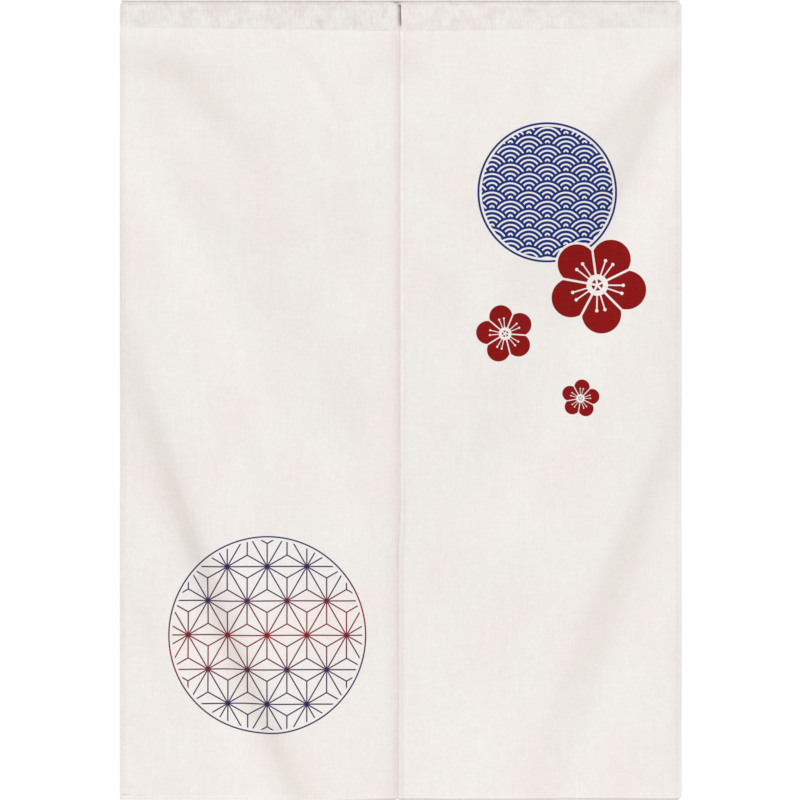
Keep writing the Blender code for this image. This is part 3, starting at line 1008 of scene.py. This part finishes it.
def facing_point(column, row):
    """The point of the strip's finished cloth where a column and a row meet."""
    reach = HALF_WIDTH - FACING_INSET
    if column.part == "left":
        x = -reach + column.amount
    elif column.part == "right":
        x = reach - column.amount
    else:
        x = (reach - FACING_EDGE[-1]) * (2.0 * column.amount - 1.0)
    middle = facing_middle(x, row)
    place = facing_rows.index(row)
    upper = facing_middle(x, facing_rows[max(place - 1, 0)])
    lower = facing_middle(x, facing_rows[min(place + 1, len(facing_rows) - 1)])
    run = lower - upper
    to_front = Vector((0.0, run.z, -run.y)).normalized()
    from_edge = reach - abs(x)
    if row.part in ("top", "tail"):
        from_edge = min(from_edge, row.amount)
    half = FACING_CLOTH / 2.0 * round_edge(from_edge, FACING_CLOTH)
    if row.part != "pocket" or row.amount in (0.0, 1.0):
        puckers = seam_relief(x, middle.z, TOP_SEAM, 15.0) + seam_relief(x, middle.z, seam_height(x), 17.0)
        middle.y -= min(puckers, 0.0)
    shaded = row.part == "top" and row.amount > GROOVE_SHADE_START
    return ClothPoint(front=middle + to_front * half, back=middle - to_front * half,
                      flat=(x, bow_length[place]), heading=FACING_HEADING, tone=-GROOVE_SHADE * shaded)


facing_columns = (lines("left", FACING_EDGE) + lines_across("field", FACING_COLUMNS)
                  + lines("right", reversed(FACING_EDGE)))
facing_rows = [*lines("top", FACING_EDGE), Line("pocket", 0.0), *lines_across("pocket", BOW_ROWS),
               Line("pocket", 1.0), *lines("tail", reversed(FACING_EDGE))]
bow_length = [0.0]
for upper_row, lower_row in zip(facing_rows, facing_rows[1:]):
    step = facing_middle(PATTERN_COLUMN, lower_row) - facing_middle(PATTERN_COLUMN, upper_row)
    bow_length.append(bow_length[-1] - step.length)

facing = two_faced_cloth("heading_strip", facing_columns, facing_rows, facing_point)
facing_cloth = new_material("facing_cloth")
cloth = plain_cloth(facing_cloth)
finish_cloth(facing_cloth, cloth.tint, cloth.weave)
facing.data.materials.append(facing_cloth)
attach(facing, "root")
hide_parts("heading_facing")


# The stitches
# Lockstitch in off-white thread: down both hems of each panel, along the bottom hems, and in two lines
# that sew the facing on. They show at the front and at the back, each one sunk into the cloth.
STITCH_PITCH = 0.0031
STITCH_LENGTH = 0.0026
THREAD = 0.00042
STITCH_RISE = 0.00006         # how far a stitch's middle stands in front of the dimple
STITCH_LOT = 30               # stitches made at a time
HEM_START = 0.003             # the hems' stitches start this far below the lower seam
SEAM_AT_SLIT_END = 0.006      # and the seams' end this far from the slit
SEAM_AT_SIDE_END = 0.004      # and from the panels' sides
FACING_SEAM_END = 0.006       # or at the back from the curtain's sides
BY_BOTTOM = 0.02              # a place this near to the bottom edge is measured from it
THREAD_DARK = colour(214, 208, 200)
THREAD_PALE = colour(236, 232, 226)
THREAD_FINISH = {"Roughness": 0.7}
STRANDS_A_METRE = 900.0
STRAND_BUMP = 0.00005
STRAND_BUMP_STRENGTH = 0.5
lot_mesh = bpy.data.meshes.new("lot_of_stitches")


def surface_height(side, x, z, back):
    """The panel's y at a place of its front or back face."""
    from_side = HALF_WIDTH - abs(x)
    from_slit = abs(x - slit_edge(side, z))
    from_bottom = z - bottom_edge(side, x)
    column = Line("side", from_side) if from_side < from_slit else Line("slit", from_slit)
    if from_bottom < BY_BOTTOM:
        row = Line("bottom", from_bottom)
    elif abs(z - TOP_SEAM) < 1e-6:
        row = Line("top", PANEL_TOP - z)
    else:
        row = Line("seam", z - seam_height(x))
    point = panel_point(side, column, row)
    return point.back[1] if back else point.front[1]


def sew(threads, start, end, height, back):
    """Stitches on a straight run between two (x, z) places, on a surface that height gives."""
    run = Vector((end[0] - start[0], 0.0, end[1] - start[1]))
    count = int(run.length / STITCH_PITCH)
    outward = 1.0 if back else -1.0
    lot = bmesh.new()
    for number in range(count):
        ends = []
        for share in (number / count, (number + STITCH_LENGTH / STITCH_PITCH) / count):
            x = start[0] + run.x * share
            z = start[1] + run.z * share
            ends.append(Vector((x, height(x, z) + outward * STITCH_RISE, z)))
        along = ends[1] - ends[0]
        turn = along.to_track_quat("Z", "Y").to_matrix().to_4x4()
        size = Matrix.Diagonal((THREAD / 2.0, THREAD / 2.0, along.length / 2.0, 1.0))
        bmesh.ops.create_uvsphere(lot, u_segments=5, v_segments=4, radius=1.0,
                                  matrix=Matrix.Translation((ends[0] + ends[1]) / 2.0) @ turn @ size)
        # Each operator looks at all that is in its mesh, so the stitches are made in short lots
        if number % STITCH_LOT == STITCH_LOT - 1 or number == count - 1:
            lot.to_mesh(lot_mesh)
            threads.from_mesh(lot_mesh)
            lot.clear()
    lot.free()


def sew_seams(threads, left_x, right_x, height, back):
    """The upper and the lower seam of the heading, from one x to another."""
    for seam_of in (lambda x: TOP_SEAM, seam_height):
        sew(threads, (left_x, seam_of(left_x)), (right_x, seam_of(right_x)), height, back)


def sew_hems(threads, side, height, back):
    """A panel's side hem, slit hem and bottom hem."""
    outer_x = side * (HALF_WIDTH - HEM_STITCH)
    outer_foot = bottom_edge(side, outer_x) + HEM_STITCH
    sew(threads, (outer_x, seam_height(outer_x) - HEM_START), (outer_x, outer_foot), height, back)
    # The slit's edge and the bottom edge bend, so their stitches run from one row to the next
    slit_foot = bottom_edge(side, 0.0) + HEM_STITCH
    heights = [SEAM_AT_SLIT - HEM_START, *(row.z for row in SLIT_ROWS[SLIT_ROWS_IN_HEADING:])]
    heights = [z for z in heights if z > slit_foot] + [slit_foot]
    slit_line = [(slit_edge(side, z) + side * HEM_STITCH, z) for z in heights]
    rows = LEFT_BOTTOM if side < 0 else RIGHT_BOTTOM
    bottom_xs = sorted([outer_x, slit_line[-1][0], *(row.x for row in rows[1:-1])])
    bottom_line = [(x, bottom_edge(side, x) + HEM_STITCH) for x in bottom_xs]
    for line in (slit_line, bottom_line):
        for start, end in zip(line, line[1:]):
            sew(threads, start, end, height, back)


def stitch_piece(name, threads):
    """The finished stitches as one piece."""
    mesh = bpy.data.meshes.new(name)
    threads.to_mesh(mesh)
    threads.free()
    mesh.shade_smooth()
    mesh.materials.append(sewing_thread)
    item = add_object(name, mesh)
    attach(item, "root")
    return item


sewing_thread = new_material("sewing_thread")
wire = Wire(sewing_thread.node_tree)
place = wire.node("TexCoord", output="Object")
strand = wire.node("TexNoise", {"Vector": place, "Scale": STRANDS_A_METRE, "Detail": 2.0})
thread_tint = mix_colours(strand, THREAD_DARK, THREAD_PALE)
thread_bump = wire.node("Bump", {"Height": strand, "Distance": STRAND_BUMP,
                                 "Strength": STRAND_BUMP_STRENGTH})
finish(sewing_thread, thread_tint, thread_bump, THREAD_FINISH)

for side, name in ((-1, "hem_stitches_left"), (1, "hem_stitches_right")):
    threads = bmesh.new()
    heading_xs = sorted([side * (HALF_WIDTH - SEAM_AT_SIDE_END), side * SEAM_AT_SLIT_END])
    sew_hems(threads, side, lambda x, z: surface_height(side, x, z, False), False)
    sew_seams(threads, *heading_xs, lambda x, z: surface_height(side, x, z, False), False)
    sew_hems(threads, side, lambda x, z: surface_height(side, x, z, True), True)
    stitches = stitch_piece(name, threads)

threads = bmesh.new()
for left_x, right_x in ((-HALF_WIDTH + FACING_SEAM_END, 0.0), (0.0, HALF_WIDTH - FACING_SEAM_END)):
    sew_seams(threads, left_x, right_x, lambda x, z: FACING_MIDDLE + FACING_CLOTH / 2.0, True)
facing_stitches = stitch_piece("facing_stitches", threads)
